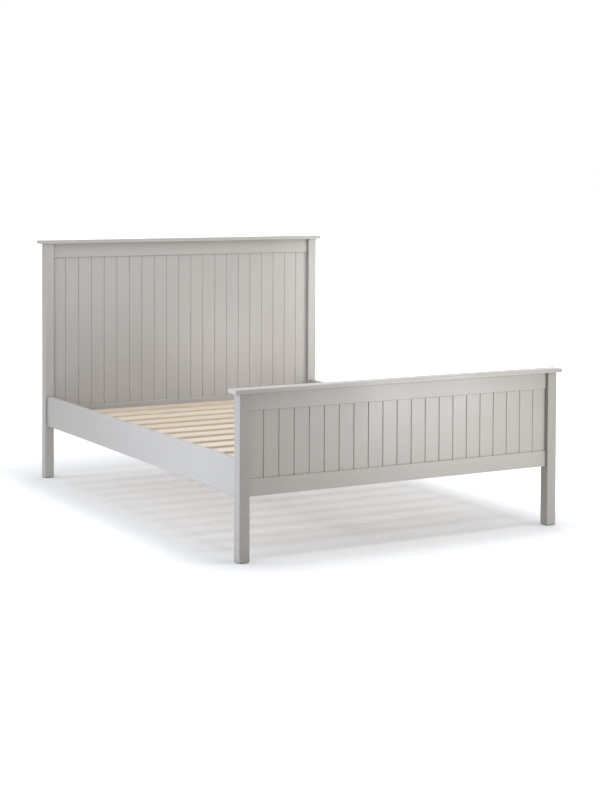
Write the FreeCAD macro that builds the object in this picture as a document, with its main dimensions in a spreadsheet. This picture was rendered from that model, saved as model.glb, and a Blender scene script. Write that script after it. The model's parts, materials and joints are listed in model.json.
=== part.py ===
import FreeCAD, Part
import os
import Sketcher

# Painted bed frame with a high headboard and a low footboard, each a grooved panel held by two posts,
# two rails and an overhanging cap. Two side rails join them and carry pine slats on ledgers.
# Millimetres. X runs across the bed, +Y towards the headboard, +Z up. The origin is on the floor
# under the middle of the bed.

DIMENSIONS = {
    # Overall, measured over the posts
    "frame_width": 1450,
    "frame_length": 2002,
    "head_post_top": 1091.5,
    "foot_post_top": 623.5,
    # Posts
    "post_width": 42.5,
    "post_depth": 45,
    "post_round": 2,
    # Foot glides
    "glide_height": 3,
    "glide_inset": 2,
    "glide_corner": 4,
    # Caps
    "cap_thickness": 16.5,
    "cap_overhang_side": 21,
    "cap_overhang_face": 8,
    "cap_round": 2.5,
    "tongue_end_inset": 60,
    "tongue_thickness": 6,
    "tongue_in_cap": 8,
    "tongue_in_rail": 10,
    # Rails of the two boards
    "board_rail_thickness": 18,
    "top_rail_height": 66,
    "bottom_rail_drop": 45,
    "head_bottom_rail_height": 85,
    "foot_bottom_rail_height": 64,
    "board_rail_bevel": 1.5,
    "tenon_length": 16,
    "tenon_thickness": 8,
    "tenon_shoulder": 12,
    # Grooved panels
    "panel_thickness": 9,
    "panel_lip": 8,
    "board_count": 21,
    "groove_width": 5,
    "groove_depth": 2.5,
    # Side rails and what carries the slats
    "side_rail_thickness": 24,
    "side_rail_height": 136,
    "side_rail_drop": 44,
    "side_rail_inset": 9,
    "side_rail_round": 3,
    "stub_tenon_length": 8,
    "stub_tenon_thickness": 12,
    "stub_tenon_shoulder": 20,
    "ledger_width": 22,
    "ledger_height": 25,
    "ledger_end_gap": 3,
    "ledger_housing": 5,
    # Slats
    "slat_rest_height": 287,
    "slat_width": 80,
    "slat_thickness": 18,
    "slat_count": 14,
    "slat_side_gap": 2,
    "slat_end_gap": 3,
    "slat_bevel": 2,
    # Centre rail and its hangers
    "centre_rail_width": 28,
    "centre_rail_depth": 40,
    "hanger_sheet": 2,
    "hanger_seat": 38,
    "hanger_flange": 18,
    # Knock-down corner joint
    "bolt_diameter": 8,
    "bolt_above_slat_rest": 44,
    "bolt_in_post": 30,
    "bolt_past_nut": 4,
    "pocket_diameter": 36,
    "pocket_floor_gap": 0.5,
    "pocket_from_end": 34,
    "washer_chord": 7,
    "washer_width": 13,
    "nut_flats": 13,
    "nut_thickness": 6.5,
    # Screws
    "screw_diameter": 4,
    "screw_head_diameter": 8,
    "slat_screw_length": 32,
    "hanger_screw_length": 15,
    # Clearances
    "joint_clearance": 0.2,
    "blind_clearance": 1,
}

# Sizes that follow from the driving ones
DERIVED = {
    "clear_width": "dims.frame_width - 2 * dims.post_width",
    "board_pitch": "(dims.frame_width - 2 * dims.post_width) / dims.board_count",
    "post_x": "dims.frame_width / 2 - dims.post_width / 2",
    "post_y": "dims.frame_length / 2 - dims.post_depth / 2",
    "rail_face_y": "dims.frame_length / 2 - dims.post_depth / 2 - dims.board_rail_thickness / 2",
    "bottom_rail_base": "dims.slat_rest_height - dims.bottom_rail_drop",
    "side_rail_x": "dims.frame_width / 2 - dims.side_rail_inset - dims.side_rail_thickness / 2",
    "side_rail_inner_x": "dims.frame_width / 2 - dims.side_rail_inset - dims.side_rail_thickness",
    "side_rail_length": "dims.frame_length - 2 * dims.post_depth",
    "side_rail_middle": "dims.slat_rest_height - dims.side_rail_drop + dims.side_rail_height / 2",
    "stub_tenon_height": "dims.side_rail_height - 2 * dims.stub_tenon_shoulder",
    "bolt_level": "dims.slat_rest_height + dims.bolt_above_slat_rest",
    "pocket_depth": "(dims.side_rail_thickness + dims.washer_width) / 2 + dims.pocket_floor_gap",
    "ledger_length": "dims.frame_length - 2 * dims.post_depth - 2 * dims.ledger_end_gap",
    "screw_head_height": "(dims.screw_head_diameter - dims.screw_diameter) / 2",
    "screw_bore": "dims.screw_diameter + 2 * dims.joint_clearance",
    "bolt_bore": "dims.bolt_diameter + 2 * dims.joint_clearance",
    "hanger_inner_width": "dims.centre_rail_width + 2 * dims.joint_clearance",
}
# Sizes that follow from the first derived ones
LAID_OUT = {
    "ledger_x": "derived.side_rail_inner_x - dims.ledger_width / 2",
    "tongue_length": "derived.clear_width - 2 * dims.tongue_end_inset",
    "slat_span": "derived.ledger_length - 2 * dims.slat_end_gap - dims.slat_width",
    "slat_pitch": "(derived.ledger_length - 2 * dims.slat_end_gap - dims.slat_width) / (dims.slat_count - 1)",
    "slat_length": "2 * (derived.side_rail_inner_x - dims.slat_side_gap)",
    "hanger_outer_width": "derived.hanger_inner_width + 2 * dims.hanger_sheet",
    "hanger_height": "dims.centre_rail_depth + dims.joint_clearance + dims.hanger_sheet",
    "hanger_screw_x": "derived.hanger_inner_width / 2 + dims.hanger_sheet + dims.hanger_flange / 2",
    "hanger_screw_z": "dims.slat_rest_height - dims.centre_rail_depth / 2",
    "centre_rail_length": "2 * (derived.rail_face_y - dims.hanger_sheet - dims.joint_clearance)",
}

TINY = 0.001

doc = FreeCAD.newDocument("bed_frame")
sub_parts = []


def make_sheet():
    sheet = doc.addObject("Spreadsheet::Sheet", "dims")
    for row, (alias, number) in enumerate(DIMENSIONS.items(), start=1):
        sheet.set(f"A{row}", alias)
        sheet.set(f"B{row}", str(number))
        sheet.setAlias(f"B{row}", alias)
    doc.recompute()
    return sheet


def make_values(name, expressions):
    """Hold worked-out sizes under their names, each bound to the sheet."""
    holder = doc.addObject("App::VarSet", name)
    for alias, expression in expressions.items():
        holder.addProperty("App::PropertyFloat", alias)
        holder.setExpression(alias, expression)
    doc.recompute()
    return holder


dims = make_sheet()
derived = make_values("derived", DERIVED)
laid_out = make_values("laid_out", LAID_OUT)


# Building blocks of a body: a sketch placed by its centre, then a pad or pocket to both sides of it

def new_body(label):
    body = doc.addObject("PartDesign::Body", label)
    body.Label = label
    sub_parts.append(body)
    return body


def place(item, x="0", y="0", z="0"):
    for axis, expression in (("x", x), ("y", y), ("z", z)):
        item.setExpression(f"Placement.Base.{axis}", expression)


def origin_feature(body, role):
    for feature in body.Origin.OriginFeatures:
        if feature.Role == role:
            return feature
    raise ValueError(role)


def new_sketch(body, name, plane, centre):
    """Sketch on an origin plane of the body, moved so that its origin lies at centre."""
    sketch = body.newObject("Sketcher::SketchObject", name)
    sketch.AttachmentSupport = [(origin_feature(body, plane), "")]
    sketch.MapMode = "FlatFace"
    x, y, z = centre
    offsets = {
        "XY_Plane": (x, y, z),
        "XZ_Plane": (x, z, f"-({y})"),
        "YZ_Plane": (y, z, x),
    }[plane]
    for axis, expression in zip("xyz", offsets):
        sketch.setExpression(f"AttachmentOffset.Base.{axis}", expression)
    return sketch


def add_line(sketch, start, end):
    return sketch.addGeometry(Part.LineSegment(FreeCAD.Vector(*start, 0), FreeCAD.Vector(*end, 0)))


def name_size(sketch, constraint, name, expression):
    index = sketch.addConstraint(constraint)
    sketch.renameConstraint(index, name)
    sketch.setExpression(f"Constraints.{name}", expression)


def rectangle(body, name, plane, centre, across, up):
    sketch = new_sketch(body, name, plane, centre)
    points = [(-1, -1), (1, -1), (1, 1), (-1, 1)]
    sides = [add_line(sketch, points[i], points[(i + 1) % 4]) for i in range(4)]
    for i in range(4):
        sketch.addConstraint(Sketcher.Constraint("Coincident", sides[i], 2, sides[(i + 1) % 4], 1))
    for i in (0, 2):
        sketch.addConstraint(Sketcher.Constraint("Horizontal", sides[i]))
    for i in (1, 3):
        sketch.addConstraint(Sketcher.Constraint("Vertical", sides[i]))
    sketch.addConstraint(Sketcher.Constraint("Symmetric", sides[0], 1, sides[1], 2, -1, 1))
    name_size(sketch, Sketcher.Constraint("DistanceX", sides[0], 1, sides[0], 2, 2.0), "across", across)
    name_size(sketch, Sketcher.Constraint("DistanceY", sides[1], 1, sides[1], 2, 2.0), "up", up)
    return sketch


def circle(body, name, plane, centre, diameter):
    sketch = new_sketch(body, name, plane, centre)
    ring = sketch.addGeometry(Part.Circle(FreeCAD.Vector(), FreeCAD.Vector(0, 0, 1), 1.0))
    sketch.addConstraint(Sketcher.Constraint("Coincident", ring, 3, -1, 1))
    name_size(sketch, Sketcher.Constraint("Diameter", ring, 2.0), "diameter", diameter)
    return sketch


def notch(body, name, plane, centre, width, depth):
    """Triangle with its base centred on the sketch's origin and its tip along the sketch's y."""
    sketch = new_sketch(body, name, plane, centre)
    left, right, tip = (-1, 0), (1, 0), (0, 1)
    base = add_line(sketch, left, right)
    rise = add_line(sketch, right, tip)
    fall = add_line(sketch, tip, left)
    for first, second in ((base, rise), (rise, fall), (fall, base)):
        sketch.addConstraint(Sketcher.Constraint("Coincident", first, 2, second, 1))
    sketch.addConstraint(Sketcher.Constraint("Symmetric", base, 1, base, 2, -1, 1))
    sketch.addConstraint(Sketcher.Constraint("PointOnObject", rise, 2, -2))
    sketch.addConstraint(Sketcher.Constraint("Horizontal", base))
    name_size(sketch, Sketcher.Constraint("DistanceX", base, 1, base, 2, 2.0), "width", width)
    name_size(sketch, Sketcher.Constraint("DistanceY", -1, 1, rise, 2, 1.0), "depth", depth)
    return sketch


def extrude(body, kind, name, sketch, length):
    feature = body.newObject(f"PartDesign::{kind}", name)
    feature.Profile = sketch
    feature.SideType = "Symmetric"
    feature.setExpression("Length", length)
    sketch.Visibility = False
    return feature


def pad_block(body, name, size, centre=("0", "0", "0")):
    sketch = rectangle(body, f"{name}_outline", "XY_Plane", centre, size[0], size[1])
    return extrude(body, "Pad", name, sketch, size[2])


def cut_block(body, name, size, centre):
    sketch = rectangle(body, f"{name}_outline", "XY_Plane", centre, size[0], size[1])
    return extrude(body, "Pocket", name, sketch, size[2])


PLANE_ACROSS = {"X": "YZ_Plane", "Y": "XZ_Plane", "Z": "XY_Plane"}


def drill(body, name, axis, diameter, depth, centre):
    sketch = circle(body, f"{name}_outline", PLANE_ACROSS[axis], centre, diameter)
    return extrude(body, "Pocket", name, sketch, depth)


def repeat(body, name, feature, axis, length, count):
    """Row of copies of a pocket along an axis of the body."""
    pattern = body.newObject("PartDesign::LinearPattern", name)
    pattern.Originals = [feature]
    pattern.Direction = (origin_feature(body, f"{axis}_Axis"), [""])
    pattern.setExpression("Length", length)
    pattern.setExpression("Occurrences", count)
    body.Tip = pattern
    return pattern


def edges_where(feature, test):
    doc.recompute()
    return [f"Edge{i}" for i, edge in enumerate(feature.Shape.Edges, start=1) if test(edge)]


def runs_along(edge, axis):
    if not isinstance(edge.Curve, Part.Line):
        return False
    return abs(getattr(edge.Curve.Direction, axis)) > 1 - TINY


def dress(body, kind, name, feature, test, size):
    """Round or bevel the edges of a feature that pass a test."""
    edges = edges_where(feature, test)
    if not edges:
        raise ValueError(f"{body.Label} {name}: no edge found")
    dressed = body.newObject(f"PartDesign::{kind}", name)
    dressed.Base = (feature, edges)
    dressed.setExpression("Radius" if kind == "Fillet" else "Size", size)
    body.Tip = dressed
    return dressed


def is_rim_at(edge, level):
    """Tell whether an edge is a round rim lying flat at a level."""
    return isinstance(edge.Curve, Part.Circle) and abs(edge.Curve.Center.z - level) < TINY


# Posts

def make_post(label, side, end, top, rails):
    """side is -1 left, 1 right; end is -1 foot, 1 head; rails are (base, height) of the two rails."""
    body = new_body(label)
    place(body, f"{side} * derived.post_x", f"{end} * derived.post_y", "dims.glide_height")
    height = f"({top} - dims.glide_height)"
    size = ("dims.post_width", "dims.post_depth", height)
    block = pad_block(body, "post", size, ("0", "0", f"{height} / 2"))
    dress(body, "Fillet", "arris", block, lambda edge: runs_along(edge, "z"), "dims.post_round")

    inner = f"-({side}) * dims.post_width / 2"
    for number, (base, rail_height) in enumerate(rails, start=1):
        depth = "(dims.tenon_length + dims.blind_clearance)"
        middle = f"{base} + {rail_height} / 2 - dims.glide_height"
        cut_block(
            body,
            f"mortise_{number}",
            (
                depth,
                "dims.tenon_thickness + 2 * dims.joint_clearance",
                f"{rail_height} - 2 * dims.tenon_shoulder + 2 * dims.joint_clearance",
            ),
            (f"{inner} + {side} * {depth} / 2", "0", middle),
        )

    (lower_base, lower_height), (upper_base, _) = rails
    low = f"({lower_base} + {lower_height} - dims.panel_lip - dims.blind_clearance)"
    high = f"({upper_base} + dims.panel_lip + dims.blind_clearance)"
    groove_depth = "(dims.panel_lip + dims.blind_clearance)"
    cut_block(
        body,
        "panel_groove",
        (groove_depth, "dims.panel_thickness + 2 * dims.joint_clearance", f"{high} - {low}"),
        (f"{inner} + {side} * {groove_depth} / 2", "0", f"({low} + {high}) / 2 - dims.glide_height"),
    )

    rail_x = f"{side} * (derived.side_rail_x - derived.post_x)"
    face = f"-({end}) * dims.post_depth / 2"
    bolt_depth = "(dims.bolt_in_post + dims.blind_clearance)"
    drill(
        body, "bolt_bore", "Y", "derived.bolt_bore", bolt_depth,
        (rail_x, f"{face} + {end} * {bolt_depth} / 2", "derived.bolt_level - dims.glide_height"),
    )
    stub_depth = "(dims.stub_tenon_length + dims.blind_clearance)"
    cut_block(
        body,
        "stub_mortise",
        (
            "dims.stub_tenon_thickness + 2 * dims.joint_clearance",
            stub_depth,
            "derived.stub_tenon_height + 2 * dims.joint_clearance",
        ),
        (rail_x, f"{face} + {end} * {stub_depth} / 2", "derived.side_rail_middle - dims.glide_height"),
    )


# Rails, panel and cap of a board

def make_board_rail(label, end, base, height, panel_side):
    """panel_side is 1 where the panel stands on the rail, -1 where it hangs under it."""
    body = new_body(label)
    place(body, "0", f"{end} * derived.post_y", f"{base} + {height} / 2")
    block = pad_block(body, "rail", ("derived.clear_width", "dims.board_rail_thickness", height))

    def along_panel(edge):
        return runs_along(edge, "x") and edge.CenterOfMass.z * panel_side > 0

    dress(body, "Chamfer", "arris", block, along_panel, "dims.board_rail_bevel")
    pad_block(
        body,
        "tenons",
        (
            "derived.clear_width + 2 * dims.tenon_length",
            "dims.tenon_thickness",
            f"{height} - 2 * dims.tenon_shoulder",
        ),
    )
    groove_depth = "(dims.panel_lip + dims.blind_clearance)"
    cut_block(
        body,
        "panel_groove",
        ("derived.clear_width", "dims.panel_thickness + 2 * dims.joint_clearance", groove_depth),
        ("0", "0", f"{panel_side} * ({height} - {groove_depth}) / 2"),
    )
    return body


def add_tongue_groove(body, level, depth):
    """Groove for a cap's tongue, centred at a level of a rail or cap."""
    size = (
        "laid_out.tongue_length + 2 * dims.blind_clearance",
        "dims.tongue_thickness + 2 * dims.joint_clearance",
        depth,
    )
    cut_block(body, "tongue_groove", size, ("0", "0", level))


def add_hanger_bores(body, end, base, height):
    """Pilot bores for the screws of the centre rail's hanger, in the rail's face towards the bed."""
    depth = "(dims.hanger_screw_length - dims.hanger_sheet + dims.blind_clearance)"
    y = f"-({end}) * (dims.board_rail_thickness - {depth}) / 2"
    z = f"laid_out.hanger_screw_z - {base} - {height} / 2"
    for name, side in (("left", -1), ("right", 1)):
        drill(
            body, f"{name}_hanger_bore", "Y", "derived.screw_bore", depth,
            (f"{side} * laid_out.hanger_screw_x", y, z),
        )


def make_panel(label, end, low, high):
    """Panel between the rail edges at low and high, grooved on its -Y face."""
    body = new_body(label)
    place(body, "0", f"{end} * derived.post_y", f"({low} + {high}) / 2")
    height = f"({high} - ({low}) + 2 * dims.panel_lip)"
    pad_block(body, "sheet", ("derived.clear_width + 2 * dims.panel_lip", "dims.panel_thickness", height))
    first = "derived.board_pitch - derived.clear_width / 2"
    outline = notch(
        body, "groove_outline", "XY_Plane", (first, "-dims.panel_thickness / 2", "0"),
        "dims.groove_width", "dims.groove_depth",
    )
    groove = extrude(body, "Pocket", "groove", outline, height)
    length = "derived.clear_width - 2 * derived.board_pitch"
    repeat(body, "grooves", groove, "X", length, "dims.board_count - 1")


def make_cap(label, end, base):
    body = new_body(label)
    place(body, "0", f"{end} * derived.post_y", f"{base} + dims.cap_thickness / 2")
    size = (
        "dims.frame_width + 2 * dims.cap_overhang_side",
        "dims.post_depth + 2 * dims.cap_overhang_face",
        "dims.cap_thickness",
    )
    block = pad_block(body, "cap", size)
    dress(body, "Fillet", "edges", block, lambda edge: not runs_along(edge, "z"), "dims.cap_round")
    cap_groove = "(dims.tongue_in_cap + dims.blind_clearance)"
    add_tongue_groove(body, f"({cap_groove} - dims.cap_thickness) / 2", cap_groove)


def make_tongue(label, end, level):
    """Loose tongue glued into the cap above a level and into the rail below it."""
    body = new_body(label)
    place(body, "0", f"{end} * derived.post_y", f"{level} + (dims.tongue_in_cap - dims.tongue_in_rail) / 2")
    height = "dims.tongue_in_cap + dims.tongue_in_rail"
    pad_block(body, "strip", ("laid_out.tongue_length", "dims.tongue_thickness", height))


# Side rails and ledgers

def make_side_rail(label, side):
    body = new_body(label)
    place(body, f"{side} * derived.side_rail_x", "0", "derived.side_rail_middle")
    size = ("dims.side_rail_thickness", "derived.side_rail_length", "dims.side_rail_height")
    block = pad_block(body, "rail", size)
    dress(body, "Fillet", "arris", block, lambda edge: runs_along(edge, "y"), "dims.side_rail_round")
    pad_block(
        body,
        "stub_tenons",
        (
            "dims.stub_tenon_thickness",
            "derived.side_rail_length + 2 * dims.stub_tenon_length",
            "derived.stub_tenon_height",
        ),
    )
    inner = f"-({side}) * dims.side_rail_thickness / 2"
    level = "derived.bolt_level - derived.side_rail_middle"
    for end, name in ((-1, "foot"), (1, "head")):
        drill(
            body, f"{name}_pocket", "X", "dims.pocket_diameter", "derived.pocket_depth",
            (
                f"{inner} + {side} * derived.pocket_depth / 2",
                f"{end} * (derived.side_rail_length / 2 - dims.pocket_from_end)",
                level,
            ),
        )
        reach = "(dims.pocket_from_end + dims.stub_tenon_length)"
        middle = "derived.side_rail_length / 2 + dims.stub_tenon_length"
        drill(
            body, f"{name}_bolt_bore", "Y", "derived.bolt_bore", reach,
            ("0", f"{end} * ({middle} - {reach} / 2)", level),
        )
    cut_block(
        body,
        "ledger_housing",
        ("dims.ledger_housing", "derived.side_rail_length", "dims.ledger_height"),
        (
            f"{inner} + {side} * dims.ledger_housing / 2",
            "0",
            "dims.slat_rest_height - dims.ledger_height / 2 - derived.side_rail_middle",
        ),
    )


def make_ledger(label, side):
    """Batten that carries the slat ends, its outer edge glued into the side rail's housing."""
    body = new_body(label)
    place(body, f"{side} * laid_out.ledger_x", "0", "dims.slat_rest_height - dims.ledger_height / 2")
    pad_block(
        body,
        "batten",
        ("dims.ledger_width + dims.ledger_housing", "derived.ledger_length", "dims.ledger_height"),
        (f"{side} * dims.ledger_housing / 2", "0", "0"),
    )
    depth = "(dims.slat_screw_length - dims.slat_thickness + dims.blind_clearance)"
    for name, end in (("foot", -1), ("head", 1)):
        drill(
            body, f"{name}_slat_bore", "Z", "derived.screw_bore", depth,
            ("0", f"{end} * laid_out.slat_span / 2", f"(dims.ledger_height - {depth}) / 2"),
        )


# Slats and the centre rail under them

def make_slat(number):
    body = new_body(f"slat_{number:02d}")
    place(
        body,
        "0",
        f"{number - 1} * laid_out.slat_pitch - laid_out.slat_span / 2",
        "dims.slat_rest_height + dims.slat_thickness / 2",
    )
    block = pad_block(body, "board", ("laid_out.slat_length", "dims.slat_width", "dims.slat_thickness"))
    dress(body, "Chamfer", "arris", block, lambda edge: runs_along(edge, "x"), "dims.slat_bevel")
    if number in (1, int(dims.slat_count)):
        add_slat_bores(body)


def add_slat_bores(body):
    """Countersunk bores at both ends of a slat that is screwed down."""
    bores = None
    for side, name in ((-1, "left"), (1, "right")):
        bores = drill(
            body, f"{name}_bore", "Z", "derived.screw_bore", "dims.slat_thickness",
            (f"{side} * laid_out.ledger_x", "0", "0"),
        )
    top = dims.slat_thickness / 2
    sink = "derived.screw_head_height"
    dress(body, "Chamfer", "countersinks", bores, lambda edge: is_rim_at(edge, top), sink)


def make_centre_rail():
    body = new_body("centre_rail")
    place(body, "0", "0", "dims.slat_rest_height - dims.centre_rail_depth / 2")
    size = ("dims.centre_rail_width", "laid_out.centre_rail_length", "dims.centre_rail_depth")
    pad_block(body, "rail", size)


def make_hanger(label, end):
    """Folded sheet seat for the centre rail, screwed to a board's bottom rail by its two flanges."""
    body = new_body(label)
    base = "dims.slat_rest_height - dims.centre_rail_depth - dims.joint_clearance - dims.hanger_sheet"
    place(body, "0", f"{end} * derived.rail_face_y", base)
    back = f"-({end}) * dims.hanger_sheet / 2"
    back_width = "laid_out.hanger_outer_width + 2 * dims.hanger_flange"
    pad_block(
        body,
        "back",
        (back_width, "dims.hanger_sheet", "laid_out.hanger_height"),
        ("0", back, "laid_out.hanger_height / 2"),
    )
    seat = f"-({end}) * dims.hanger_seat / 2"
    pad_block(
        body,
        "trough",
        ("laid_out.hanger_outer_width", "dims.hanger_seat", "laid_out.hanger_height"),
        ("0", seat, "laid_out.hanger_height / 2"),
    )
    room = "(dims.hanger_seat - dims.hanger_sheet)"
    cut_block(
        body,
        "seat",
        ("derived.hanger_inner_width", room, "laid_out.hanger_height - dims.hanger_sheet"),
        (
            "0",
            f"-({end}) * (dims.hanger_sheet + {room} / 2)",
            "(laid_out.hanger_height + dims.hanger_sheet) / 2",
        ),
    )
    for name, side in (("left", -1), ("right", 1)):
        drill(
            body, f"{name}_screw_hole", "Y", "derived.screw_bore", "dims.hanger_sheet",
            (f"{side} * laid_out.hanger_screw_x", back, f"laid_out.hanger_screw_z - ({base})"),
        )


# Fasteners: one master of each kind, and a node of separate copies of it

def new_rod(name, diameter, length, z="0"):
    rod = doc.addObject("Part::Cylinder", name)
    rod.setExpression("Radius", f"({diameter}) / 2")
    rod.setExpression("Height", length)
    place(rod, "0", "0", z)
    return rod


def new_cone(name, low_diameter, high_diameter, height, z="0"):
    cone = doc.addObject("Part::Cone", name)
    cone.setExpression("Radius1", f"({low_diameter}) / 2")
    cone.setExpression("Radius2", f"({high_diameter}) / 2")
    cone.setExpression("Height", height)
    place(cone, "0", "0", z)
    return cone


def join(name, pieces):
    fused = doc.addObject("Part::MultiFuse", name)
    fused.Shapes = pieces
    fused.Refine = True
    return fused


def master_screw(name, length, head):
    """Screw along -Z. A flat head lies below the origin, a pan head stands on it."""
    narrow, wide = "dims.screw_diameter", "dims.screw_head_diameter"
    tall = "derived.screw_head_height"
    if head == "flat":
        top = new_cone(f"{name}_head", narrow, wide, tall, f"-{tall}")
    else:
        top = new_rod(f"{name}_head", wide, tall)
    shank = new_rod(f"{name}_shank", narrow, length, f"-{length}")
    return join(name, [top, shank])


def master_washer(name):
    """Crescent that fits the round pocket: its disc lies across X and its flat side faces -Z."""
    disc = new_rod(f"{name}_disc", "dims.pocket_diameter - 2 * dims.joint_clearance", "dims.washer_width")
    place(disc, "-dims.washer_width / 2")
    disc.Placement.Rotation = FreeCAD.Rotation(FreeCAD.Vector(0, 1, 0), 90)
    keep = doc.addObject("Part::Box", f"{name}_keep")
    keep.setExpression("Length", "dims.washer_width")
    keep.setExpression("Width", "dims.pocket_diameter")
    keep.setExpression("Height", "dims.pocket_diameter / 2 - dims.washer_chord")
    place(keep, "-dims.washer_width / 2", "-dims.pocket_diameter / 2", "dims.washer_chord")
    crescent = doc.addObject("Part::Common", f"{name}_crescent")
    crescent.Base = disc
    crescent.Tool = keep
    hole = new_rod(f"{name}_hole", "derived.bolt_bore", "dims.pocket_diameter")
    holed = doc.addObject("Part::Cut", name)
    holed.Base = crescent
    holed.Tool = hole
    return holed


def master_nut(name):
    """Hexagon nut standing on the origin along +Z, with two of its flats across X."""
    prism = doc.addObject("Part::Prism", f"{name}_prism")
    prism.Polygon = 6
    prism.setExpression("Circumradius", "dims.nut_flats / sqrt(3)")
    prism.setExpression("Height", "dims.nut_thickness")
    prism.Placement.Rotation = FreeCAD.Rotation(FreeCAD.Vector(0, 0, 1), 30)
    hole = new_rod(f"{name}_hole", "derived.bolt_bore", "dims.nut_thickness")
    holed = doc.addObject("Part::Cut", name)
    holed.Base = prism
    holed.Tool = hole
    return holed


def scatter(label, master, spots):
    """Node of separate solids: copies of a master, each at its own placement."""
    doc.recompute()
    node = doc.addObject("Part::Feature", label)
    node.Label = label
    copies = []
    for placement in spots:
        copy = master.Shape.copy()
        copy.Placement = placement.multiply(copy.Placement)
        copies.append(copy)
    node.Shape = Part.makeCompound(copies)
    sub_parts.append(node)


UP = FreeCAD.Vector(0, 0, 1)


def spot(x, y, z, direction=UP):
    """Placement that turns +Z to a direction."""
    return FreeCAD.Placement(FreeCAD.Vector(x, y, z), FreeCAD.Rotation(UP, FreeCAD.Vector(*direction)))


def corners():
    return [(side, end) for side in (-1, 1) for end in (-1, 1)]


def make_corner_fasteners():
    x = derived.side_rail_x
    z = derived.bolt_level
    face = derived.side_rail_length / 2
    pocket = face - dims.pocket_from_end
    bolts, washers, nuts = [], [], []
    for side, end in corners():
        outward = (0, end, 0)
        inward = (0, -end, 0)
        bolts.append(spot(side * x, end * (face + dims.bolt_in_post), z, inward))
        washers.append(spot(side * x, end * pocket, z, outward))
        nuts.append(spot(side * x, end * (pocket + dims.washer_chord), z, inward))
    bolt_length = "dims.bolt_in_post + dims.pocket_from_end + dims.bolt_past_nut"
    scatter("hanger_bolts", new_rod("bolt", "dims.bolt_diameter", bolt_length), bolts)
    scatter("crescent_washers", master_washer("washer"), washers)
    scatter("hexagon_nuts", master_nut("nut"), nuts)


def make_screws():
    slat_top = dims.slat_rest_height + dims.slat_thickness
    slat_spots = []
    for side, end in corners():
        slat_spots.append(spot(side * laid_out.ledger_x, end * laid_out.slat_span / 2, slat_top))
    scatter("slat_screws", master_screw("slat_screw", "dims.slat_screw_length", "flat"), slat_spots)

    face = derived.rail_face_y - dims.hanger_sheet
    level = laid_out.hanger_screw_z
    hanger_spots = []
    for side, end in corners():
        hanger_spots.append(spot(side * laid_out.hanger_screw_x, end * face, level, (0, -end, 0)))
    scatter("hanger_screws", master_screw("hanger_screw", "dims.hanger_screw_length", "pan"), hanger_spots)


def make_glide(label, side, end):
    """Pad under a post, a little smaller than the post, with its corners cut."""
    body = new_body(label)
    place(body, f"{side} * derived.post_x", f"{end} * derived.post_y", "dims.glide_height / 2")
    across = "dims.post_width - 2 * dims.glide_inset"
    along = "dims.post_depth - 2 * dims.glide_inset"
    block = pad_block(body, "pad", (across, along, "dims.glide_height"))
    dress(body, "Chamfer", "corners", block, lambda edge: runs_along(edge, "z"), "dims.glide_corner")


def make_board(name, end, top, bottom_rail_height):
    """One end of the bed: two posts, two rails, the panel between them and the cap."""
    lower = ("derived.bottom_rail_base", bottom_rail_height)
    upper = (f"({top} - dims.top_rail_height)", "dims.top_rail_height")
    for side, side_name in ((-1, "left"), (1, "right")):
        make_post(f"{name}_{side_name}_post", side, end, top, (lower, upper))
    top_rail = make_board_rail(f"{name}_top_rail", end, *upper, -1)
    rail_groove = "(dims.tongue_in_rail + dims.blind_clearance)"
    add_tongue_groove(top_rail, f"({upper[1]} - {rail_groove}) / 2", rail_groove)
    bottom_rail = make_board_rail(f"{name}_bottom_rail", end, *lower, 1)
    add_hanger_bores(bottom_rail, end, *lower)
    make_panel(f"{name}_panel", end, f"{lower[0]} + {lower[1]}", upper[0])
    make_cap(f"{name}_cap", end, top)
    make_tongue(f"{name}_cap_tongue", end, top)


def make_bed():
    make_board("headboard", 1, "dims.head_post_top", "dims.head_bottom_rail_height")
    make_board("footboard", -1, "dims.foot_post_top", "dims.foot_bottom_rail_height")
    for side, name in ((-1, "left"), (1, "right")):
        make_side_rail(f"{name}_side_rail", side)
        make_ledger(f"{name}_slat_ledger", side)
    for number in range(1, int(dims.slat_count) + 1):
        make_slat(number)
    make_centre_rail()
    make_hanger("centre_rail_head_hanger", 1)
    make_hanger("centre_rail_foot_hanger", -1)
    make_corner_fasteners()
    make_screws()
    for side, end in corners():
        end_name = "head" if end > 0 else "foot"
        side_name = "right" if side > 0 else "left"
        make_glide(f"{end_name}_{side_name}_glide", side, end)
    doc.recompute()


def check_and_write():
    for item in doc.Objects:
        if "Invalid" in item.State or "Error" in item.State:
            raise RuntimeError(f"{item.Label} failed: {item.State}")
    for item in sub_parts:
        if item.Shape.isNull() or not item.Shape.isValid():
            raise RuntimeError(f"{item.Label} has no valid shape")
    os.makedirs("parts", exist_ok=True)
    for item in sub_parts:
        item.Shape.exportStep(f"parts/{item.Label}.step")
    print(len(sub_parts), "nodes,", sum(len(item.Shape.Solids) for item in sub_parts), "solids")


make_bed()
check_and_write()
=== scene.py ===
import json
import math
from functools import partial
from typing import NamedTuple

import bmesh
import bpy
from mathutils import Matrix, Vector

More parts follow.
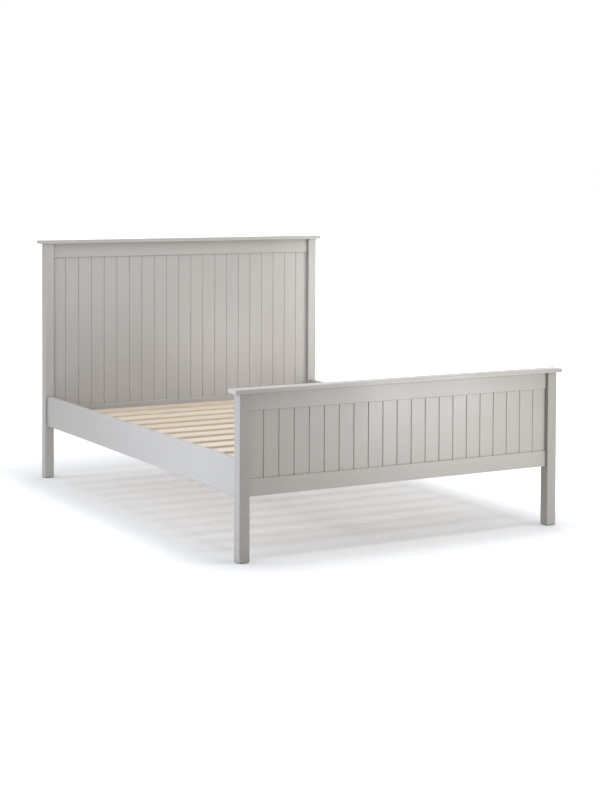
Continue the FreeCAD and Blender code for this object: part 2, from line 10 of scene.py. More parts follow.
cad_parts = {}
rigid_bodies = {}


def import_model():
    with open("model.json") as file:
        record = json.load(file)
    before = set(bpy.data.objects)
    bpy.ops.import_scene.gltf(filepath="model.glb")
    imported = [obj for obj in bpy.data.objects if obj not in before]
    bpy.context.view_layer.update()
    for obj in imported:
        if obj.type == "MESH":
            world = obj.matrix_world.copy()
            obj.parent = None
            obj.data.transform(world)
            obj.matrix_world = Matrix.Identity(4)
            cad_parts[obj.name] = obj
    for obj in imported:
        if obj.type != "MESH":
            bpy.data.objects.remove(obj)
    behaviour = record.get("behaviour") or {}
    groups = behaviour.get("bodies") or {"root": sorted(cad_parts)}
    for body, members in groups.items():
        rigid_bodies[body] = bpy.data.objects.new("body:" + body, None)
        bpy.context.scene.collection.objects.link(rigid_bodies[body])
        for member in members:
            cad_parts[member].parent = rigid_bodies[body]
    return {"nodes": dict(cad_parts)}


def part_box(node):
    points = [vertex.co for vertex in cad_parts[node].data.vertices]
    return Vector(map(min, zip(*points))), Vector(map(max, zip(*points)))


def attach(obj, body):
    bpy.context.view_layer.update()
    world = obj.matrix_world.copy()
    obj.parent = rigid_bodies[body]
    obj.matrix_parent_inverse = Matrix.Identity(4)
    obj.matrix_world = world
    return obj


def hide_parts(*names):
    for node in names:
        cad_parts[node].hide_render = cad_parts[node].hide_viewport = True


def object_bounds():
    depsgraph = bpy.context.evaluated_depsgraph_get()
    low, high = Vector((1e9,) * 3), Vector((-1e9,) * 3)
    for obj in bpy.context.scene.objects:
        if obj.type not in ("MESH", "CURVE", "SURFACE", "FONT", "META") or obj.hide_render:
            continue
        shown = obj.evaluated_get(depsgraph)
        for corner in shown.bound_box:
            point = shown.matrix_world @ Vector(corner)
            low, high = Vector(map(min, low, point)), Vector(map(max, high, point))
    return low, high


# Looks of a painted bed frame with pine slats. Metres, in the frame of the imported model:
# X across the bed, +Y towards the headboard, +Z up, the floor at zero.

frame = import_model()
cad_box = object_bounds()
LOW, HIGH = cad_box

# Picture and camera, as in the photograph: 600 by 800 pixels
PICTURE_HEIGHT = 800
SENSOR_MM = 36.0
FOCAL_PIXELS = 1697.7
HORIZON_ROW = 227.7
CAMERA_SPOT = (-3.5707, -6.4656, 1.4469)
CAMERA_TURN = math.radians(29.518)
CAMERA_TILT = math.radians(-2.0)
CAMERA_ROLL = math.radians(0.257)
CAMERA_SIGHT = 200.0

# Colours, linear
WHITE = (1.0, 1.0, 1.0)
PAINT_LIGHT = (0.356, 0.334, 0.305)
PAINT_DARK = (0.332, 0.311, 0.284)
# Painted shade for corners, grooves and recesses
PAINT_CREVICE_SHADE = (0.145, 0.133, 0.117)
# Lighter colour of the edges: wear, and a painted highlight
PAINT_EDGE_WEAR_AND_HIGHLIGHT = (0.430, 0.408, 0.378)
# Painted shade: the foot posts' paint is darkened by this share, for the shade on them
FOOT_POST_SHADE = 0.86
PINE_EARLY = (0.545, 0.464, 0.374)
PINE_LATE = (0.425, 0.331, 0.236)
# Painted light: the colour of the boards' narrow sides, for light bounced between them
PINE_SIDE_PAINTED_LIGHT = (0.65, 0.505, 0.34)
PINE_KNOT = (0.27, 0.155, 0.08)
BATTEN_EARLY = (0.53, 0.42, 0.31)
BATTEN_LATE = (0.39, 0.28, 0.18)
ZINC_LIGHT = (0.78, 0.79, 0.80)
ZINC_DARK = (0.58, 0.59, 0.60)
PAD_LIGHT = (0.17, 0.165, 0.16)
PAD_DARK = (0.12, 0.115, 0.11)
FLOOR_LIGHT = (0.943, 0.948, 0.957)
FLOOR_DARK = (0.928, 0.933, 0.942)

# Each material's roughness, least and most, and its bump, strength and depth
PAINT_ROUGHNESS = (0.30, 0.40)
PAINT_BUMP = (0.10, 0.0005)
PINE_ROUGHNESS = (0.50, 0.66)
PINE_BUMP = (0.15, 0.0004)
ZINC_ROUGHNESS = (0.26, 0.42)
ZINC_BUMP = (0.06, 0.0002)
PAD_ROUGHNESS = (0.52, 0.64)
PAD_BUMP = (0.2, 0.0003)
FLOOR_ROUGHNESS = 0.9
FLOOR_SPECULAR = 0.1

# Most of a noise lies between these two values
NOISE_LOW = 0.3
NOISE_HIGH = 0.7

# Paint. A pair of scales is repeats to the metre along the piece and across it.
STROKE_SCALES = (3.0, 190.0)
STROKE_DETAIL = 3.0
STROKE_HEIGHT_SHARE = 0.7
STIPPLE_SCALE = 750.0
PAINT_CLOUD_SCALE = 5.0
PAINT_CLOUD_DETAIL = 4.0
PAINT_CLOUD_SHARE = 0.6

# Painted shade: corners, grooves and recesses, where the paint's colour is darkened for the shade that falls
# there
SHADE_REACH = 0.02
SHADE_FULL = 0.0
SHADE_NONE = 0.75
OPENNESS_SAMPLES = 8

# Edges where it is rubbed thin and lighter, which is also a painted highlight along the rounded edges
EDGE_REACH = 0.003
EDGE_FULL = 0.35
EDGE_NONE = 0.80
EDGE_SHARE = 0.6

# Rings of the pine boards, each about a heart line of its own: how far aside, how askew and how high
BOARD_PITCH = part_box("slat_02")[0].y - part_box("slat_01")[0].y
HEART_ASIDE = 0.06
HEART_SLOPE = 0.012
HEART_LOW = 0.20
HEART_HIGH = 0.29
RING_SWAY = 0.012
RING_SWAY_SCALES = (1.6, 9.0)
RING_WIDTH = 0.0042
RING_SHARPNESS = 2.5
RING_CONTRAST = (0.25, 0.65)
RING_CONTRAST_SCALES = (1.0, 12.0)
BOARD_TONE = 0.30

# Fibres, and the narrow sides of the boards, which are painted warmer and lighter to stand in for light
# bounced between the boards
FIBRE_SCALES = (14.0, 1100.0)
FIBRE_RANGE = (0.35, 0.75)
FIBRE_SHARE = 0.20
FIBRE_HEIGHT_SHARE = 0.6
SIDE_FLATNESS = (0.2, 0.8)
SIDE_SHARE = 0.45

# Knots: radii in cells of their pattern, how far the rings give way to them, and the dark rim's two
# edges as shares of the core
KNOT_SCALES = (1.9, 5.2)
KNOT_CORE = 0.036
KNOT_HALO = 0.11
KNOT_PUSH = 0.009
KNOT_RIM_INNER = 0.5
KNOT_RIM_OUTER = 0.88
KNOT_MIDDLE_SHARE = 0.55
KNOT_RIM_SHARE = 0.95
KNOT_HALO_SHARE = 0.6

# Clouds and grain of the zinc plate, the pads and the floor
ZINC_CLOUD_SCALE = 160.0
ZINC_CLOUD_DETAIL = 4.0
ZINC_GRAIN_SCALE = 2600.0
PAD_CLOUD_SCALE = 120.0
PAD_CLOUD_DETAIL = 3.0
PAD_GRAIN_SCALE = 1800.0
FLOOR_CLOUD_SCALE = 0.8

# Floor: half its side, and the painted glow on it by distance from the bed
FLOOR_HALF = 60.0
GLOW_NEAR_END = 0.6
GLOW_NEAR = 0.25
GLOW_FAR_END = 4.0
GLOW_FAR = 0.9

# Soft light of the studio: the side it comes from, as an axis and a sign, and its strength.
# None comes from the camera's side.
SKY_COLOUR = (0.985, 1.0, 1.01)
SKY_RIGHT = ("X", 1.0, 1.0)
SKY_LEFT = ("X", -1.0, 0.79)
SKY_BACK = ("Y", 1.0, 0.68)
SKY_UP = ("Z", 1.0, 0.30)

# Lamp colours
NEUTRAL = (0.98, 0.98, 1.0)
COOL = (0.865, 0.915, 1.0)
COOLER = (0.71, 0.80, 1.0)


class Lamp(NamedTuple):
    """Soft box: its place, the point it faces, its sides, its power in watts and what it lights."""

    name: str
    spot: tuple
    target: tuple
    width: float
    height: float
    power: float
    colour: tuple
    lights: str = "all"


LAMPS = (
    Lamp("left_rear", spot=(-3.4, 1.8, 1.3), target=(0.0, 0.4, 0.3),
         width=2.0, height=2.0, power=14.5, colour=COOL),
    Lamp("ceiling", spot=(0.0, 0.0, 3.6), target=(0.0, 0.0, 0.0),
         width=3.0, height=3.0, power=59.0, colour=COOL),
    Lamp("above", spot=(0.6, -1.4, 3.2), target=(0.2, -0.2, 0.0),
         width=1.2, height=2.5, power=31.0, colour=NEUTRAL),
    Lamp("left_near", spot=(-2.2, -0.64, 0.8), target=(-0.7, -0.6, 0.3),
         width=0.8, height=1.0, power=28.5, colour=COOLER, lights="bed"),
    Lamp("right", spot=(1.6, 0.0, 0.8), target=(0.5, 0.98, 0.5),
         width=0.5, height=0.6, power=9.3, colour=NEUTRAL, lights="bed"),
    Lamp("front", spot=(1.05, -2.53, 0.46), target=(0.1, -0.98, 0.5),
         width=0.7, height=0.8, power=18.8, colour=NEUTRAL, lights="bed"),
    Lamp("low", spot=(0.6, 0.0, 0.5), target=(0.35, 0.98, 0.4),
         width=0.5, height=0.2, power=1.6, colour=NEUTRAL, lights="head"),
)

# Wood screws. The thread's end and the shank's start are shares of the length.
SCREW_RADIUS = 0.002
SCREW_THREAD_END = 0.3
SCREW_SHANK_START = 0.28
WOOD_PITCH = 0.0018
WOOD_DEPTH = 0.0006
THREAD_STEPS = 4
POINT_LENGTH = 0.004
POINT_SHARE = 0.35
HEAD_RADIUS = 0.004
HEAD_HEIGHT = 0.002
HEAD_EDGE = 0.0003
PAN_ROUND = 0.0009
PAN_STEPS = 4

# Cross recess: its steps are shares of its outline and of its depth
RECESS_REACH = 0.0022
RECESS_HALF_WIDTH = 0.0006
RECESS_DEPTH = 0.0012
RECESS_STEPS = ((1.0, 0.0), (0.75, 0.7), (0.3, 1.0))

# Hanger bolts and nuts. The ends of the bolt's threads and plain middle are shares of its length.
BOLT_RADIUS = 0.004
BOLT_SIDES = 16
BOLT_PITCH = 0.00125
BOLT_DEPTH = 0.0006
BOLT_WOOD_PITCH = 0.003
BOLT_WOOD_DEPTH = 0.0008
BOLT_WOOD_END = 0.42
BOLT_PLAIN_ENDS = (0.43, 0.57)
BOLT_MACHINE_START = 0.58
NUT_SIDES = 48
NUT_FACE_SHARE = 0.95
NUT_CHAMFER = math.radians(30.0)
SHARP_ANGLE = math.radians(35.0)


# Node helpers

def rgba(value):
    return (*value, 1.0) if isinstance(value, tuple) and len(value) == 3 else value


def along(axis, length, width):
    """Scale of a pattern drawn out along an axis: few repeats along it, many across."""
    return tuple(length if letter == axis else width for letter in "XYZ")


class Nodes:
    """Node tree, with short ways to add to it."""

    def __init__(self, tree):
        self.tree = tree

    def add(self, kind, inputs=None, **settings):
        """New node. An input that is a socket is linked, any other value is set."""
        node = self.tree.nodes.new(f"ShaderNode{kind}")
        for name, value in settings.items():
            setattr(node, name, value)
        for key, value in (inputs or {}).items():
            self.put(node.inputs[key], value)
        return node

    def put(self, socket, value):
        if isinstance(value, bpy.types.NodeSocket):
            self.tree.links.new(value, socket)
        else:
            socket.default_value = value

    def split(self, vector):
        """Sockets of a vector's X, Y and Z."""
        return self.add("SeparateXYZ", {"Vector": vector}).outputs

    def math(self, operation, first, second=0.0):
        return self.add("Math", {0: first, 1: second}, operation=operation).outputs["Value"]

    def vector(self, operation, first, second=(0.0, 0.0, 0.0)):
        return self.add("VectorMath", {0: first, 1: second}, operation=operation).outputs["Vector"]

    def length(self, vector):
        return self.add("VectorMath", {0: vector}, operation="LENGTH").outputs["Value"]

    def remap(self, value, low, high, start=0.0, end=1.0):
        inputs = {"Value": value, "From Min": low, "From Max": high, "To Min": start, "To Max": end}
        return self.add("MapRange", inputs).outputs["Result"]


class Shader(Nodes):
    """Nodes of one material, with a principled shader at their end."""

    def __init__(self, name):
        self.material = bpy.data.materials.new(name)
        self.material.use_nodes = True
        super().__init__(self.material.node_tree)
        self.surface = self.tree.nodes["Principled BSDF"]

    def finish(self, **inputs):
        for name, value in inputs.items():
            self.put(self.surface.inputs[name.replace("_", " ")], value)
        return self.material

    def place(self):
        """Point on the object, in metres."""
        return self.add("TexCoord").outputs["Object"]

    def stretch(self, place, scale):
        return self.add("Mapping", {"Vector": place, "Scale": scale}).outputs["Vector"]

    def noise(self, place, scale, detail=2.0):
        return self.add("TexNoise", {"Vector": place, "Scale": scale, "Detail": detail}).outputs["Fac"]

    def streaks(self, place, axis, scales, detail=2.0):
        """Noise drawn out along an axis."""
        return self.noise(self.stretch(place, along(axis, *scales)), 1.0, detail)

    def spread(self, noise, start=0.0, end=1.0):
        """Noise drawn out to a range."""
        return self.remap(noise, NOISE_LOW, NOISE_HIGH, start, end)

    def weigh(self, first, second, share):
        """Mean of two values, the first with a share and the second with the rest."""
        rest = self.math("MULTIPLY", second, 1.0 - share)
        return self.math("ADD", self.math("MULTIPLY", first, share), rest)

    def openness(self, reach, **settings):
        """How free the surface is of others near it, from 0 to 1."""
        node = self.add("AmbientOcclusion", {"Distance": reach}, samples=OPENNESS_SAMPLES, **settings)
        return node.outputs["AO"]

    def blend(self, share, first, second):
        """Colour between two, the second with the share."""
        inputs = {"Factor": share, "A": rgba(first), "B": rgba(second)}
        return self.add("Mix", data_type="RGBA", inputs=inputs).outputs["Result"]

    def bump(self, height, strength, depth):
        inputs = {"Height": height, "Strength": strength, "Distance": depth}
        return self.add("Bump", inputs).outputs["Normal"]


# Materials

def paint(name, axis, tone_and_shade=1.0):
    """Satin paint on planed wood, laid off along the piece."""
    shader = Shader(name)
    # A factor below one darkens the paint, as painted shade
    light = tuple(tone_and_shade * level for level in PAINT_LIGHT)
    dark = tuple(tone_and_shade * level for level in PAINT_DARK)
    place = shader.place()
    strokes = shader.streaks(place, axis, STROKE_SCALES, STROKE_DETAIL)
    stipple = shader.noise(place, STIPPLE_SCALE)
    cloud = shader.noise(place, PAINT_CLOUD_SCALE, PAINT_CLOUD_DETAIL)
    shade = shader.weigh(cloud, strokes, PAINT_CLOUD_SHARE)
    height = shader.weigh(strokes, stipple, STROKE_HEIGHT_SHARE)
    # Painted shade: the colour darkens in corners, grooves and recesses, where other surfaces are near
    outside = shader.openness(SHADE_REACH)
    # Lighter edges: wear, and a painted highlight along the rounded edges
    inside = shader.openness(EDGE_REACH, inside=True, only_local=True)
    crevice_shade = shader.remap(outside, SHADE_FULL, SHADE_NONE, 1.0, 0.0)
    edge = shader.math("MULTIPLY", shader.remap(inside, EDGE_FULL, EDGE_NONE, EDGE_SHARE, 0.0), cloud)
    coat = shader.blend(shader.spread(shade), dark, light)
    worn_and_highlit = shader.blend(edge, coat, PAINT_EDGE_WEAR_AND_HIGHLIGHT)
    return shader.finish(
        Base_Color=shader.blend(crevice_shade, worn_and_highlit, PAINT_CREVICE_SHADE),
        Roughness=shader.spread(cloud, *PAINT_ROUGHNESS),
        Normal=shader.bump(height, *PAINT_BUMP),
    )


def pine_rings(shader, place, axis, across, board, draws, knot):
    """Late wood of the rings, from 0 to 1, about a heart line of each board's own and round its knots."""
    parts = shader.split(place)
    middle = shader.math("MULTIPLY", shader.math("ADD", board, 0.5), BOARD_PITCH)
    heart = shader.remap(draws["Red"], 0.0, 1.0, -HEART_ASIDE, HEART_ASIDE)
    slope = shader.remap(draws["Green"], 0.0, 1.0, -HEART_SLOPE, HEART_SLOPE)
    level = shader.remap(draws["Blue"], 0.0, 1.0, HEART_LOW, HEART_HIGH)
    wander = shader.streaks(place, axis, RING_SWAY_SCALES)
    sway = shader.remap(wander, 0.0, 1.0, -RING_SWAY, RING_SWAY)
    drift = shader.math("ADD", shader.math("MULTIPLY", slope, parts[axis]), sway)
    core = shader.math("ADD", middle, shader.math("ADD", heart, drift))
    aside = shader.math("SUBTRACT", across, core)
    height = shader.math("SUBTRACT", level, parts["Z"])
    radius = shader.length(shader.add("CombineXYZ", {"X": aside, "Y": height}).outputs["Vector"])
    push = shader.remap(knot, 0.0, KNOT_HALO, KNOT_PUSH, 0.0)
    wave = shader.math("FRACT", shader.math("DIVIDE", shader.math("ADD", radius, push), RING_WIDTH))
    return shader.math("POWER", wave, RING_SHARPNESS)


def pine_knots(shader, knot, wood, late):
    """Colour of wood with knots in it: a halo of late wood, and a core that is darkest at its rim."""
    rim_inner = KNOT_RIM_INNER * KNOT_CORE
    rim_outer = KNOT_RIM_OUTER * KNOT_CORE
    halo = shader.blend(shader.remap(knot, KNOT_CORE, KNOT_HALO, KNOT_HALO_SHARE, 0.0), wood, late)
    inside = shader.remap(knot, rim_outer, KNOT_CORE, 1.0, 0.0)
    dark = shader.remap(knot, rim_inner, rim_outer, KNOT_MIDDLE_SHARE, KNOT_RIM_SHARE)
    return shader.blend(shader.math("MULTIPLY", inside, dark), halo, PINE_KNOT)


def pine(name, axis, early, late):
    """Planed softwood: rings, finer fibres and a few knots, and a tone of its own for each board."""
    shader = Shader(name)
    place = shader.place()
    across = shader.split(place)["Y" if axis == "X" else "X"]
    board = shader.math("FLOOR", shader.math("DIVIDE", across, BOARD_PITCH))
    luck = shader.add("TexWhiteNoise", {"W": board}, noise_dimensions="1D").outputs
    draws = shader.add("SeparateColor", {"Color": luck["Color"]}).outputs
    cells = shader.stretch(place, along(axis, *KNOT_SCALES))
    knot = shader.add("TexVoronoi", {"Vector": cells, "Scale": 1.0}).outputs["Distance"]
    rings = pine_rings(shader, place, axis, across, board, draws, knot)
    fibre = shader.streaks(place, axis, FIBRE_SCALES)
    contrast = shader.spread(shader.streaks(place, axis, RING_CONTRAST_SCALES), *RING_CONTRAST)
    tone_and_shade = shader.remap(luck["Value"], 0.0, 1.0, 0.0, BOARD_TONE)
    ringed = shader.blend(shader.math("ADD", tone_and_shade, shader.math("MULTIPLY", rings, contrast)), early, late)
    fibred = shader.blend(shader.remap(fibre, *FIBRE_RANGE, 0.0, FIBRE_SHARE), ringed, late)
    normal = shader.split(shader.add("TexCoord").outputs["Normal"])
    # Painted light: the narrow sides are lighter and warmer, for light bounced between the boards
    side = shader.remap(shader.math("ABSOLUTE", normal["Z"]), *SIDE_FLATNESS, SIDE_SHARE, 0.0)
    wood = shader.blend(side, fibred, PINE_SIDE_PAINTED_LIGHT)
    return shader.finish(
        Base_Color=pine_knots(shader, knot, wood, late),
        Roughness=shader.spread(fibre, *PINE_ROUGHNESS),
        Normal=shader.bump(shader.weigh(fibre, rings, FIBRE_HEIGHT_SHARE), *PINE_BUMP),
    )


def zinc():
    """Bright zinc plate, a little clouded."""
    shader = Shader("zinc_steel")
    place = shader.place()
    cloud = shader.noise(place, ZINC_CLOUD_SCALE, ZINC_CLOUD_DETAIL)
    grain = shader.noise(place, ZINC_GRAIN_SCALE)
    return shader.finish(
        Base_Color=shader.blend(shader.spread(cloud), ZINC_DARK, ZINC_LIGHT),
        Metallic=1.0,
        Roughness=shader.spread(cloud, *ZINC_ROUGHNESS),
        Normal=shader.bump(grain, *ZINC_BUMP),
    )


def pad_plastic():
    """Dark moulded plastic with a fine grain."""
    shader = Shader("glide_plastic")
    place = shader.place()
    cloud = shader.noise(place, PAD_CLOUD_SCALE, PAD_CLOUD_DETAIL)
    grain = shader.noise(place, PAD_GRAIN_SCALE)
    return shader.finish(
        Base_Color=shader.blend(cloud, PAD_DARK, PAD_LIGHT),
        Roughness=shader.spread(cloud, *PAD_ROUGHNESS),
        Normal=shader.bump(grain, *PAD_BUMP),
    )


def floor_finish():
    """Matt white paper with a painted glow, seen by the camera alone, that grows away from the bed until it
    runs into the background.
    """
    shader = Shader("studio_floor")
    place = shader.place()
    half = Vector((max(-LOW.x, HIGH.x), max(-LOW.y, HIGH.y), 0.0))
    folded = shader.vector("ABSOLUTE", place)
    distance = shader.length(shader.vector("MAXIMUM", shader.vector("SUBTRACT", folded, half)))
    near = shader.remap(distance, 0.0, GLOW_NEAR_END, 0.0, GLOW_NEAR)
    far = shader.remap(distance, GLOW_NEAR_END, GLOW_FAR_END, 0.0, GLOW_FAR)
    seen = shader.add("LightPath").outputs["Is Camera Ray"]
    cloud = shader.noise(place, FLOOR_CLOUD_SCALE)
    return shader.finish(
        Base_Color=shader.blend(cloud, FLOOR_DARK, FLOOR_LIGHT),
        Roughness=FLOOR_ROUGHNESS,
        Specular_IOR_Level=FLOOR_SPECULAR,
        Emission_Color=rgba(WHITE),
        # Painted light: a glow that the camera alone sees
        Emission_Strength=shader.math("MULTIPLY", shader.math("ADD", near, far), seen),
    )


def dress(material, names):
    for name in names:
        for slot in frame["nodes"][name].material_slots:
            slot.material = material


def dress_nodes(plated):
    boards = ("headboard", "footboard")
    sides = ("left", "right")
    head_posts, foot_posts = ([f"{board}_{side}_post" for side in sides] for board in boards)
    panels = [f"{board}_panel" for board in boards]
    rails = [f"{board}_{piece}" for board in boards for piece in ("top_rail", "bottom_rail", "cap")]
    tongues = [f"{board}_cap_tongue" for board in boards]
    slats = sorted(name for name in frame["nodes"] if name.removeprefix("slat_").isdigit())
    battens = [f"{side}_slat_ledger" for side in sides] + ["centre_rail"]
    hangers = ["centre_rail_head_hanger", "centre_rail_foot_hanger"]
    fasteners = ["hanger_bolts", "crescent_washers", "hexagon_nuts", "slat_screws", "hanger_screws"]
    glides = [f"{end}_{side}_glide" for end in ("head", "foot") for side in sides]
    dress(paint("paint_upright", "Z"), head_posts + panels)
    # Painted shade: the foot posts take a darkened copy of the paint
    dress(paint("paint_foot_posts_shaded", "Z", FOOT_POST_SHADE), foot_posts)
    dress(paint("paint_across", "X"), rails)
    dress(paint("paint_lengthwise", "Y"), [f"{side}_side_rail" for side in sides])
    dress(pine("pine_slats", "X", PINE_EARLY, PINE_LATE), slats + tongues)
    dress(pine("pine_battens", "Y", BATTEN_EARLY, BATTEN_LATE), battens)
    dress(plated, hangers + fasteners)
    dress(pad_plastic(), glides)


# Fasteners with their threads, recesses and chamfers

def turn_points(angles, radius, height):
    """Ring of points about Z. The radius is a number, or a function of the angle."""
    ring = []
    for angle in angles:
        reach = radius(angle) if callable(radius) else radius
        ring.append(Vector((reach * math.cos(angle), reach * math.sin(angle), height)))
    return ring


def even_angles(count):
    return [math.tau * step / count for step in range(count)]


def skin(build, rings, place, loop=False):
    """Faces over rings of points, flat at both ends or joined into a loop."""
    rows = [[build.verts.new(place @ point) for point in ring] for ring in rings]
    pairs = list(zip(rows, rows[1:]))
    if loop:
        pairs.append((rows[-1], rows[0]))
    else:
        build.faces.new(list(reversed(rows[0])))
        build.faces.new(rows[-1])
    for first, second in pairs:
        for here in range(len(first)):
            after = (here + 1) % len(first)
            build.faces.new((first[here], first[after], second[after], second[here]))


def thread_rings(angles, start, end, radius, pitch, depth, point=0.0):
    """Rings of a screw thread from a start height up to an end, drawn to a point over its first stretch."""
    steps = math.ceil((end - start) / pitch * THREAD_STEPS)
    rings = []
    for step in range(steps + 1):
        height = start + (end - start) * step / steps
        taper = min(1.0, POINT_SHARE + (height - start) / point) if point else 1.0

        def reach(angle, height=height, taper=taper):
            phase = (height / pitch - angle / math.tau) % 1.0
            return taper * (radius - depth * abs(2.0 * phase - 1.0))

        rings.append(turn_points(angles, reach, height))
    return rings


def cross_angles():
    """Angles that hold the corners of a cross recess, with others between them."""
    corner = math.atan2(RECESS_HALF_WIDTH, RECESS_REACH)
    quarter = math.pi / 4
    between = (quarter + corner) / 2
    arm = (-quarter, -between, -corner, 0.0, corner, between)
    return [turn * math.pi / 2 + angle for turn in range(4) for angle in arm]


def cross_reach(angle, share):
    """Outline of a cross recess as a distance from its middle, times a share."""
    off = abs((angle + math.pi / 4) % (math.pi / 2) - math.pi / 4)
    along_arm = RECESS_REACH / math.cos(off)
    if off > 0.0:
        along_arm = min(along_arm, RECESS_HALF_WIDTH / math.sin(off))
    return share * along_arm


def recess_rings(angles, top):
    """Rings from the top of a screw head down into its cross recess."""
    return [
        turn_points(angles, partial(cross_reach, share=share), top - sunk * RECESS_DEPTH)
        for share, sunk in RECESS_STEPS
    ]


def flat_screw(build, place, length):
    """Countersunk wood screw with the top of its head at zero."""
    angles = cross_angles()
    shank = SCREW_RADIUS - WOOD_DEPTH / 2
    thread_end = -SCREW_THREAD_END * length
    rings = thread_rings(angles, -length, thread_end, SCREW_RADIUS, WOOD_PITCH, WOOD_DEPTH, POINT_LENGTH)
    rings.append(turn_points(angles, shank, -SCREW_SHANK_START * length))
    rings.append(turn_points(angles, shank, -HEAD_HEIGHT))
    rings.append(turn_points(angles, HEAD_RADIUS, -HEAD_EDGE))
    rings.append(turn_points(angles, HEAD_RADIUS, 0.0))
    skin(build, rings + recess_rings(angles, 0.0), place)


def pan_screw(build, place, length):
    """Pan head wood screw with the underside of its head at zero."""
    angles = cross_angles()
    rings = thread_rings(angles, -length, -HEAD_EDGE, SCREW_RADIUS, WOOD_PITCH, WOOD_DEPTH, POINT_LENGTH)
    rings.append(turn_points(angles, SCREW_RADIUS - WOOD_DEPTH, 0.0))
    rings.append(turn_points(angles, HEAD_RADIUS, 0.0))
    for step in range(PAN_STEPS + 1):
        swing = math.pi / 2 * step / PAN_STEPS
        reach = HEAD_RADIUS - PAN_ROUND * (1.0 - math.cos(swing))
        rings.append(turn_points(angles, reach, HEAD_HEIGHT - PAN_ROUND * (1.0 - math.sin(swing))))
    skin(build, rings + recess_rings(angles, HEAD_HEIGHT), place)


def hanger_bolt(build, place, length):
    """Bolt with a wood thread in the post, from zero up, and a machine thread at the nut."""
    angles = even_angles(BOLT_SIDES)
    wood_end = BOLT_WOOD_END * length
    wood = thread_rings(angles, 0.0, wood_end, BOLT_RADIUS, BOLT_WOOD_PITCH, BOLT_WOOD_DEPTH, POINT_LENGTH)
    plain = [turn_points(angles, BOLT_RADIUS - BOLT_WOOD_DEPTH, share * length) for share in BOLT_PLAIN_ENDS]
    tip = length - BOLT_DEPTH
    machine = thread_rings(angles, BOLT_MACHINE_START * length, tip, BOLT_RADIUS, BOLT_PITCH, BOLT_DEPTH)
    end = [turn_points(angles, BOLT_RADIUS - BOLT_DEPTH, length)]
    skin(build, wood + plain + machine + end, place)


def hexagon_nut(build, place, flats, thickness):
    """Nut standing on zero, its corners chamfered and its bore countersunk."""
    angles = even_angles(NUT_SIDES)

    def reach(angle):
        return flats / 2 / math.cos((angle + math.pi / 6) % (math.pi / 3) - math.pi / 6)

    def chamfer(angle):
        return (reach(angle) - flats / 2) * math.tan(NUT_CHAMFER)

    def hexagon(low):
        ring = turn_points(angles, reach, 0.0)
        for point, angle in zip(ring, angles):
            point.z = chamfer(angle) if low else thickness - chamfer(angle)
        return ring

    face = NUT_FACE_SHARE * flats / 2
    countersink = BOLT_RADIUS + BOLT_DEPTH
    rings = [
        turn_points(angles, BOLT_RADIUS, BOLT_DEPTH),
        turn_points(angles, countersink, 0.0),
        turn_points(angles, face, 0.0),
        hexagon(True),
        hexagon(False),
        turn_points(angles, face, thickness),
        turn_points(angles, countersink, thickness),
        turn_points(angles, BOLT_RADIUS, thickness - BOLT_DEPTH),
    ]
    skin(build, rings, place, loop=True)


def corner_boxes(name):
    """Boxes of a node's four solids, one in each corner of the bed, by the signs of X and Y."""
    node = frame["nodes"][name]
    boxes = {}
    for vertex in node.data.vertices:
        point = node.matrix_world @ vertex.co
        key = (math.copysign(1.0, point.x), math.copysign(1.0, point.y))
        low, high = boxes.setdefault(key, (point.copy(), point.copy()))
        for axis in range(3):
            low[axis] = min(low[axis], point[axis])
            high[axis] = max(high[axis], point[axis])
    return boxes


def face_middle(low, high, way):
    """Middle of a box's face to +Y or -Y."""
    middle = (low + high) / 2
    middle.y = high.y if way > 0.0 else low.y
    return middle


def aim_along_length(spot, way):
    """Placement with +Z turned to +Y or -Y and X kept."""
    return Matrix.Translation(spot) @ Matrix.Rotation(-way * math.pi / 2, 4, "X")


def draw_slat_screw(build, end, low, high):
    top = (low + high) / 2
    top.z = high.z
    flat_screw(build, Matrix.Translation(top), high.z - low.z)


def draw_hanger_screw(build, end, low, high):
    seat = face_middle(low, high, -end)
    seat.y += end * HEAD_HEIGHT
    pan_screw(build, aim_along_length(seat, -end), high.y - low.y - HEAD_HEIGHT)


def draw_hanger_bolt(build, end, low, high):
    start = face_middle(low, high, end)
    hanger_bolt(build, aim_along_length(start, -end), high.y - low.y)


def draw_hexagon_nut(build, end, low, high):
    seat = face_middle(low, high, end)
    hexagon_nut(build, aim_along_length(seat, -end), high.x - low.x, high.y - low.y)


def make_fastener(name, draw, finish):
    """Piece for a fastener node: one drawn in each corner, where its solid is."""
    build = bmesh.new()
    for (_, end), (low, high) in corner_boxes(name).items():
        draw(build, end, low, high)
    bmesh.ops.recalc_face_normals(build, faces=build.faces)
    mesh = bpy.data.meshes.new(f"detailed_{name}")
    build.to_mesh(mesh)
    build.free()
    for face in mesh.polygons:
        face.use_smooth = True
    mesh.set_sharp_from_angle(angle=SHARP_ANGLE)
    mesh.materials.append(finish)
    piece = bpy.data.objects.new(f"detailed_{name}", mesh)
    bpy.context.scene.collection.objects.link(piece)
    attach(piece, "root")
    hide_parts(name)


def make_fasteners(finish):
    make_fastener("slat_screws", draw_slat_screw, finish)
    make_fastener("hanger_screws", draw_hanger_screw, finish)
    make_fastener("hanger_bolts", draw_hanger_bolt, finish)
    make_fastener("hexagon_nuts", draw_hexagon_nut, finish)


# Studio

def make_floor():
    mesh = bpy.data.meshes.new("floor")
    build = bmesh.new()
    bmesh.ops.create_grid(build, x_segments=1, y_segments=1, size=FLOOR_HALF)
    build.to_mesh(mesh)
    build.free()
    floor = bpy.data.objects.new("floor", mesh)
    floor.data.materials.append(floor_finish())
    bpy.context.scene.collection.objects.link(floor)


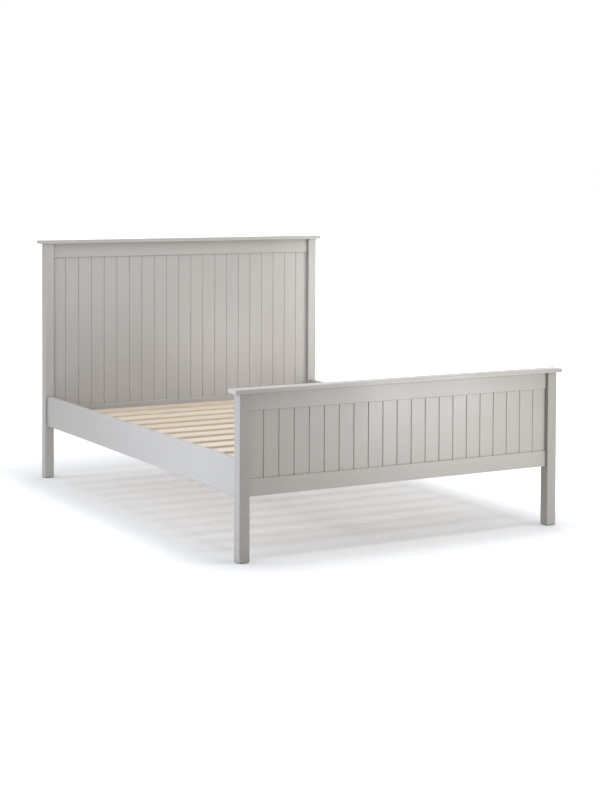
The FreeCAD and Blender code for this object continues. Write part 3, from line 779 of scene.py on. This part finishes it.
def make_world():
    """Soft light from both sides, from behind and from above, in front of a white background."""
    world = bpy.data.worlds.new("studio")
    world.use_nodes = True
    bpy.context.scene.world = world
    world.node_tree.nodes.clear()
    nodes = Nodes(world.node_tree)
    parts = nodes.split(nodes.add("TexCoord").outputs["Generated"])
    lobes = [
        nodes.remap(parts[axis], 0.0, way, 0.0, strength)
        for axis, way, strength in (SKY_RIGHT, SKY_LEFT, SKY_BACK, SKY_UP)
    ]
    total = lobes[0]
    for lobe in lobes[1:]:
        total = nodes.math("ADD", total, lobe)
    ambient = nodes.add("Background", {"Color": rgba(SKY_COLOUR), "Strength": total}).outputs["Background"]
    white = nodes.add("Background", {"Color": rgba(WHITE)}).outputs["Background"]
    seen = nodes.add("LightPath").outputs["Is Camera Ray"]
    mix = nodes.add("MixShader", {"Fac": seen, 1: ambient, 2: white}).outputs["Shader"]
    nodes.add("OutputWorld", {"Surface": mix})


def make_lamp(lamp, groups):
    data = bpy.data.lights.new(lamp.name, "AREA")
    data.shape = "RECTANGLE"
    data.size = lamp.width
    data.size_y = lamp.height
    data.energy = lamp.power
    data.color = lamp.colour
    light = bpy.data.objects.new(lamp.name, data)
    light.location = lamp.spot
    light.rotation_mode = "QUATERNION"
    light.rotation_quaternion = (Vector(lamp.target) - Vector(lamp.spot)).to_track_quat("-Z", "Y")
    bpy.context.scene.collection.objects.link(light)
    light.visible_camera = False
    if lamp.lights in groups:
        light.light_linking.receiver_collection = groups[lamp.lights]


def make_lamps():
    """Soft boxes: three that light everything, and four that light the bed or the headboard alone."""
    groups = {name: bpy.data.collections.new(name) for name in ("bed", "head")}
    for piece in bpy.context.scene.objects:
        if piece.type == "MESH" and piece.name != "floor":
            groups["bed"].objects.link(piece)
    for name, piece in frame["nodes"].items():
        if name.startswith("headboard"):
            groups["head"].objects.link(piece)
    for lamp in LAMPS:
        make_lamp(lamp, groups)


def make_camera():
    forward = Vector((
        math.sin(CAMERA_TURN) * math.cos(CAMERA_TILT),
        math.cos(CAMERA_TURN) * math.cos(CAMERA_TILT),
        math.sin(CAMERA_TILT),
    ))
    level = Vector((math.cos(CAMERA_TURN), -math.sin(CAMERA_TURN), 0.0))
    upright = level.cross(forward)
    right = level * math.cos(CAMERA_ROLL) + upright * math.sin(CAMERA_ROLL)
    up = upright * math.cos(CAMERA_ROLL) - level * math.sin(CAMERA_ROLL)
    data = bpy.data.cameras.new("camera")
    data.sensor_width = SENSOR_MM
    data.lens = SENSOR_MM * FOCAL_PIXELS / PICTURE_HEIGHT
    data.shift_y = HORIZON_ROW / PICTURE_HEIGHT - 0.5
    data.clip_end = CAMERA_SIGHT
    camera = bpy.data.objects.new("camera", data)
    turn = Matrix((right, up, -forward)).transposed()
    camera.matrix_world = Matrix.Translation(CAMERA_SPOT) @ turn.to_4x4()
    bpy.context.scene.collection.objects.link(camera)
    bpy.context.scene.camera = camera


plated = zinc()
dress_nodes(plated)
make_fasteners(plated)
make_floor()
make_world()
make_lamps()
make_camera()
bpy.context.scene.view_settings.view_transform = "Standard"
